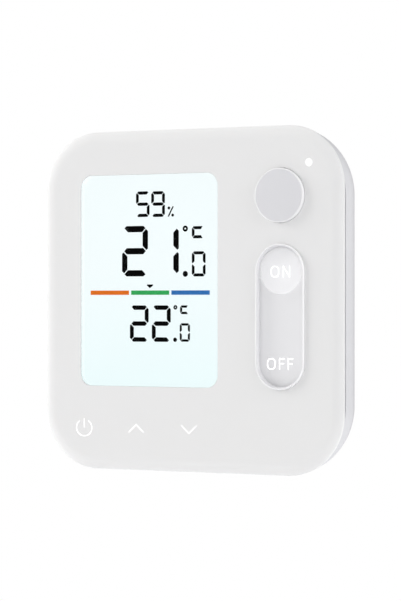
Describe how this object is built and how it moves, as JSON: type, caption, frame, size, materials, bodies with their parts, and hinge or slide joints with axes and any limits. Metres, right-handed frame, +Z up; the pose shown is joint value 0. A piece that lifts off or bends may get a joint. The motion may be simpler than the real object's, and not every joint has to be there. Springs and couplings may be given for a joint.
{
  "type": "wall thermostat",
  "caption": "Square wall thermostat with round corners: a head with display window, dial, slide switch and touch keys hangs on a wall plate and swings out for wiring.",
  "frame": {"origin": "centre of the wall plate's back face, on the wall, level with the two wall screws and in the middle of the square front", "axes": "+X to the right seen from the front, +Z up, +Y into the wall; the front faces -Y"},
  "size_m": [0.09, 0.0262, 0.09],
  "materials": {
    "white_shell": "smooth white moulded shell",
    "white_part": "white moulded plastic",
    "clear_cover": "clear window",
    "display_glass": "pale backlit display glass",
    "acrylic": "clear acrylic",
    "frosted": "frosted translucent plastic",
    "black_plastic": "black moulded plastic",
    "grey_plastic": "grey moulded plastic",
    "led_package": "moulded lamp package",
    "conductive_rubber": "carbon filled rubber",
    "steel": "plated steel",
    "brass": "gold flashed brass",
    "board": "green solder mask",
    "winding": "taped winding and core",
    "sleeve": "dark blue sleeve",
    "blue_resin": "blue epoxy",
    "ceramic_tube": "ceramic tube with end caps",
    "shield": "tinned shield can",
    "magnet": "ferrite"
  },
  "bodies": {
    "wall_side": {"wall_plate": "white_part", "keeper_discs": "steel", "terminal_block": "grey_plastic", "terminal_clamps": "brass", "terminal_screws": "steel", "contact_bars": "brass"},
    "head": {"front_cover": "white_shell", "display_window": "clear_cover", "lcd_cell": "display_glass", "lcd_frame": "white_part", "light_guide": "acrylic", "backlight_leds": "led_package", "zebra_strips": "conductive_rubber", "lamp_lens": "frosted", "status_led": "led_package", "touch_posts": "conductive_rubber", "encoder_body": "black_plastic", "switch_rim": "white_shell", "switch_tray": "white_part", "switch_tracks": "brass", "main_board": "board", "board_screws": "steel", "relay": "black_plastic", "transformer": "winding", "filter_capacitors": "sleeve", "surge_block": "blue_resin", "fuse": "ceramic_tube", "controller_chip": "black_plastic", "radio_module": "shield", "air_sensor": "black_plastic", "contact_springs": "brass", "rear_housing": "white_shell", "hinge_rod": "steel", "catch_magnets": "magnet"},
    "push": {"push_plunger": "black_plastic"},
    "dial": {"dial_cap": "white_part", "encoder_shaft": "steel"},
    "slider": {"switch_thumb": "frosted", "switch_carriage": "grey_plastic", "switch_wiper": "brass"}
  },
  "joints": [
    {"name": "head_swing", "type": "hinge", "parent": "wall_side", "child": "head", "pos_m": [0, -0.004, 0.033], "axis": [-1, 0, 0], "range_deg": [0, 25]},
    {"name": "dial_press", "type": "slide", "parent": "head", "child": "push", "axis": [0, 1, 0], "range_m": [0, 0.0005], "stiffness_N_per_m": 2000, "springref_m": -0.001},
    {"name": "dial_turn", "type": "hinge", "parent": "push", "child": "dial", "pos_m": [0.0272, -0.02, 0.027], "axis": [0, 1, 0], "continuous": true},
    {"name": "switch_slide", "type": "slide", "parent": "head", "child": "slider", "axis": [0, 0, -1], "range_m": [0, 0.0236]}
  ]
}
